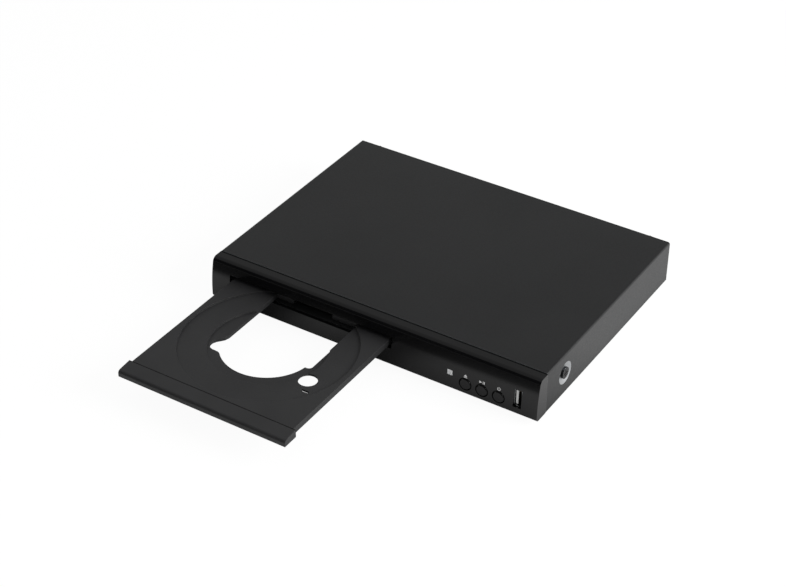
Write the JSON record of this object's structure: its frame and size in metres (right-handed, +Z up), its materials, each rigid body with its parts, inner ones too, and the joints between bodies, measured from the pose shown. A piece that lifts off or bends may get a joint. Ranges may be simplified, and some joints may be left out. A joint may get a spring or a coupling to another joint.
{
  "type": "disc player",
  "caption": "Compact black disc player: low steel case with a glossy moulded front, round push buttons and a motor-driven disc tray that slides out through a slot.",
  "frame": {"origin": "on the surface the player stands on, under the middle of its length with the tray out and of its width", "axes": "+Z up, -Y towards the front and the open tray, +X to the viewer's right when facing the front"},
  "size_m": [0.2608, 0.322, 0.0363],
  "materials": {
    "cover_paint": "satin black powder paint",
    "front_gloss": "polished black moulding",
    "tray_plastic": "fine moulded texture",
    "door_plastic": "satin black moulding",
    "button_plastic": "polished black moulding",
    "window_clear": "translucent moulding",
    "zinc_steel": "zinc-plated sheet",
    "bright_steel": "turned or plated steel",
    "black_screw": "black oxide",
    "foot_rubber": "moulded rubber",
    "frame_plastic": "moulded",
    "gear_plastic": "moulded acetal",
    "motor_brass": "turned",
    "circuit_board": "solder mask",
    "power_board": "bare laminate",
    "chip_black": "moulded epoxy",
    "capacitor_sleeve": "shrink sleeve",
    "transformer_tape": "tape and bobbin",
    "socket_metal": "tin plate",
    "socket_brass": "plated",
    "white_plastic": "moulded",
    "lens_glass": "coated lens"
  },
  "bodies": {
    "case": {"base_pan": "zinc_steel", "top_cover": "cover_paint", "rear_panel": "cover_paint", "front_bezel": "front_gloss", "slot_collar": "frame_plastic", "feet": "foot_rubber", "cover_side_screws": "black_screw", "cover_rear_screws": "black_screw", "loader_screws": "bright_steel", "board_screws": "bright_steel", "bridge_screws": "bright_steel", "front_board_screws": "bright_steel", "indicator_window": "window_clear", "front_board": "circuit_board", "tact_switches": "chip_black", "infrared_receiver": "chip_black", "port_shell": "socket_metal", "port_tongue": "white_plastic", "main_board": "circuit_board", "main_processor": "chip_black", "memory_chips": "chip_black", "board_capacitors": "capacitor_sleeve", "video_socket": "socket_metal", "round_sockets": "socket_brass", "power_board": "power_board", "power_transformer": "transformer_tape", "power_capacitor": "capacitor_sleeve", "mains_inlet": "chip_black", "front_cable": "white_plastic", "loader_cable": "white_plastic", "loader_frame": "frame_plastic", "loading_motor": "bright_steel", "drive_belt": "foot_rubber", "clamp_bridge": "zinc_steel"},
    "tray": {"disc_tray": "tray_plastic", "tray_door": "door_plastic"},
    "drive_gear": {"drive_gear": "gear_plastic"},
    "pulley_gear": {"pulley_gear": "gear_plastic"},
    "motor_pulley": {"motor_pulley": "motor_brass"},
    "lift_slider": {"lift_slider": "gear_plastic"},
    "drive_unit": {"traverse_deck": "zinc_steel", "guide_rods": "bright_steel", "spindle_motor": "bright_steel", "feed_motor": "bright_steel"},
    "turntable": {"turntable": "frame_plastic"},
    "pickup_sled": {"pickup_sled": "frame_plastic"},
    "feed_screw": {"feed_screw": "bright_steel"},
    "objective_lens": {"objective_lens": "lens_glass"},
    "clamp": {"clamp_puck": "frame_plastic", "clamp_magnet": "bright_steel"},
    "eject_button": {"eject_button": "button_plastic"},
    "play_button": {"play_button": "button_plastic"},
    "power_button": {"power_button": "button_plastic"}
  },
  "joints": [
    {"name": "tray_slide", "type": "slide", "parent": "case", "child": "tray", "axis": [0, 1, 0], "range_m": [0, 0.122]},
    {"name": "drive_gear_spin", "type": "hinge", "parent": "case", "child": "drive_gear", "pos_m": [0.00412, -0.007, 0.015], "axis": [0, 0, 1], "range_deg": [0, 1249.2]},
    {"name": "pulley_gear_spin", "type": "hinge", "parent": "case", "child": "pulley_gear", "pos_m": [-0.01108, -0.007, 0.015], "axis": [0, 0, 1], "range_deg": [-3496, 0]},
    {"name": "motor_pulley_spin", "type": "hinge", "parent": "case", "child": "motor_pulley", "pos_m": [-0.062, -0.009, 0.015], "axis": [0, 0, 1], "range_deg": [-12583.2, 0]},
    {"name": "lift_slide", "type": "slide", "parent": "case", "child": "lift_slider", "axis": [1, 0, 0], "range_m": [0, 0.016]},
    {"name": "drive_unit_tilt", "type": "hinge", "parent": "case", "child": "drive_unit", "pos_m": [-0.048, 0.121, 0.016], "axis": [-1, 0, 0], "range_deg": [0, 4.5]},
    {"name": "turntable_spin", "type": "hinge", "parent": "drive_unit", "child": "turntable", "pos_m": [-0.048, 0.03675, 0.01338], "axis": [0, -0.0785, 0.9969], "continuous": true},
    {"name": "pickup_slide", "type": "slide", "parent": "drive_unit", "child": "pickup_sled", "axis": [0, 0.9969, 0.0785], "range_m": [0, 0.034]},
    {"name": "feed_screw_spin", "type": "hinge", "parent": "drive_unit", "child": "feed_screw", "pos_m": [-0.016, 0.07144, 0.00849], "axis": [0, 0.9969, 0.0785], "range_deg": [0, 4081]},
    {"name": "lens_focus", "type": "slide", "parent": "pickup_sled", "child": "objective_lens", "axis": [0, -0.0785, 0.9969], "range_m": [-0.0004, 0.0004], "stiffness_N_per_m": 50},
    {"name": "clamp_spin", "type": "hinge", "parent": "case", "child": "clamp", "pos_m": [-0.048, 0.0368, 0.028], "axis": [0, 0, 1], "continuous": true},
    {"name": "eject_button_press", "type": "slide", "parent": "case", "child": "eject_button", "axis": [0, 1, 0], "range_m": [0, 0.0007], "stiffness_N_per_m": 2500},
    {"name": "play_button_press", "type": "slide", "parent": "case", "child": "play_button", "axis": [0, 1, 0], "range_m": [0, 0.0007], "stiffness_N_per_m": 2500},
    {"name": "power_button_press", "type": "slide", "parent": "case", "child": "power_button", "axis": [0, 1, 0], "range_m": [0, 0.0007], "stiffness_N_per_m": 2500}
  ],
  "couplings": [
    {"joint": "drive_gear_spin", "follows": "tray_slide", "rad_per_m": 178.57},
    {"joint": "pulley_gear_spin", "follows": "tray_slide", "rad_per_m": -500},
    {"joint": "motor_pulley_spin", "follows": "tray_slide", "rad_per_m": -1800},
    {"joint": "drive_unit_tilt", "follows": "lift_slide", "rad_per_m": 4.9087},
    {"joint": "feed_screw_spin", "follows": "pickup_slide", "rad_per_m": 2094.4}
  ]
}
